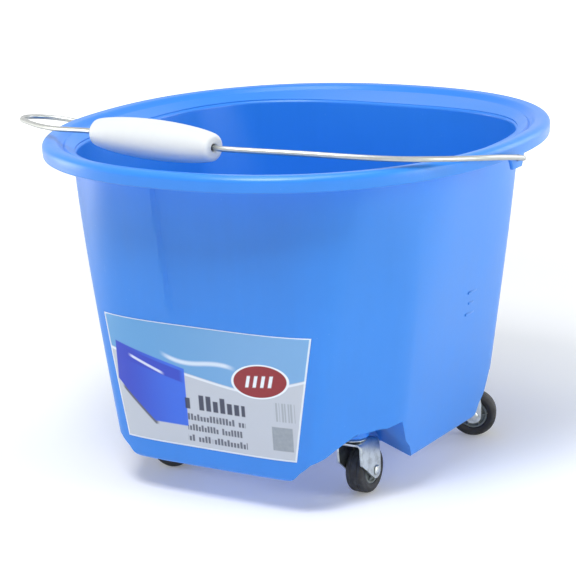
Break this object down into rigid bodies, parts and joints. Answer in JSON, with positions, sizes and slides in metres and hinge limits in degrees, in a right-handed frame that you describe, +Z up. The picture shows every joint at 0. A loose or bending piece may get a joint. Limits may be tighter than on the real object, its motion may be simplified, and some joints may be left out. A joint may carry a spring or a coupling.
{
  "type": "wheeled cleaning bucket",
  "caption": "Square-round plastic wash bucket on swivel casters, with a rolled rim, a wire bail, a loose hand grip and a front label.",
  "frame": {"origin": "middle of the tub's flat underside", "axes": "+Z up, +X towards the right-hand bail pivot, -Y towards the labelled front"},
  "size_m": [0.4519, 0.4038, 0.3025],
  "materials": {
    "blue_plastic": "semi-gloss moulded polypropylene",
    "printed_label": "satin printed film",
    "wire_steel": "bright drawn steel wire",
    "white_plastic": "satin moulded plastic",
    "zinc_steel": "zinc-plated pressed steel",
    "grey_hub": "moulded nylon",
    "black_tyre": "hard black rubber"
  },
  "bodies": {
    "bucket": {"bucket_body": "blue_plastic", "product_label": "printed_label", "stem_front_right": "zinc_steel", "raceway_front_right": "zinc_steel", "stem_rear_right": "zinc_steel", "raceway_rear_right": "zinc_steel", "stem_rear_left": "zinc_steel", "raceway_rear_left": "zinc_steel", "stem_front_left": "zinc_steel", "raceway_front_left": "zinc_steel"},
    "bail": {"bail_wire": "wire_steel"},
    "grip": {"bail_grip": "white_plastic"},
    "swivel_front_right": {"fork_front_right": "zinc_steel", "axle_front_right": "zinc_steel"},
    "wheel_front_right": {"hub_front_right": "grey_hub", "tyre_front_right": "black_tyre"},
    "swivel_rear_right": {"fork_rear_right": "zinc_steel", "axle_rear_right": "zinc_steel"},
    "wheel_rear_right": {"hub_rear_right": "grey_hub", "tyre_rear_right": "black_tyre"},
    "swivel_rear_left": {"fork_rear_left": "zinc_steel", "axle_rear_left": "zinc_steel"},
    "wheel_rear_left": {"hub_rear_left": "grey_hub", "tyre_rear_left": "black_tyre"},
    "swivel_front_left": {"fork_front_left": "zinc_steel", "axle_front_left": "zinc_steel"},
    "wheel_front_left": {"hub_front_left": "grey_hub", "tyre_front_left": "black_tyre"}
  },
  "joints": [
    {"name": "bail_swing", "type": "hinge", "parent": "bucket", "child": "bail", "pos_m": [0, 0, 0.2315], "axis": [-1, 0, 0], "range_deg": [0, 156]},
    {"name": "grip_spin", "type": "hinge", "parent": "bail", "child": "grip", "pos_m": [-0.025, -0.1625, 0.26], "axis": [-0.9848, 0.1736, 0], "continuous": true},
    {"name": "swivel_turn_front_right", "type": "hinge", "parent": "bucket", "child": "swivel_front_right", "pos_m": [0.093, -0.085, 0.0189], "axis": [0, 0, 1], "continuous": true},
    {"name": "wheel_spin_front_right", "type": "hinge", "parent": "swivel_front_right", "child": "wheel_front_right", "pos_m": [0.09274, -0.07, -0.0085], "axis": [-0.9998, -0.0175, 0], "continuous": true},
    {"name": "swivel_turn_rear_right", "type": "hinge", "parent": "bucket", "child": "swivel_rear_right", "pos_m": [0.093, 0.085, 0.0189], "axis": [0, 0, 1], "continuous": true},
    {"name": "wheel_spin_rear_right", "type": "hinge", "parent": "swivel_rear_right", "child": "wheel_rear_right", "pos_m": [0.1067, 0.0911, -0.0085], "axis": [-0.4067, 0.9135, 0], "continuous": true},
    {"name": "swivel_turn_rear_left", "type": "hinge", "parent": "bucket", "child": "swivel_rear_left", "pos_m": [-0.093, 0.085, 0.0189], "axis": [0, 0, 1], "continuous": true},
    {"name": "wheel_spin_rear_left", "type": "hinge", "parent": "swivel_rear_left", "child": "wheel_rear_left", "pos_m": [-0.08296, 0.09615, -0.0085], "axis": [-0.7431, 0.6691, 0], "continuous": true},
    {"name": "swivel_turn_front_left", "type": "hinge", "parent": "bucket", "child": "swivel_front_left", "pos_m": [-0.093, -0.085, 0.0189], "axis": [0, 0, 1], "continuous": true},
    {"name": "wheel_spin_front_left", "type": "hinge", "parent": "swivel_front_left", "child": "wheel_front_left", "pos_m": [-0.07808, -0.08343, -0.0085], "axis": [-0.1045, 0.9945, 0], "continuous": true}
  ]
}
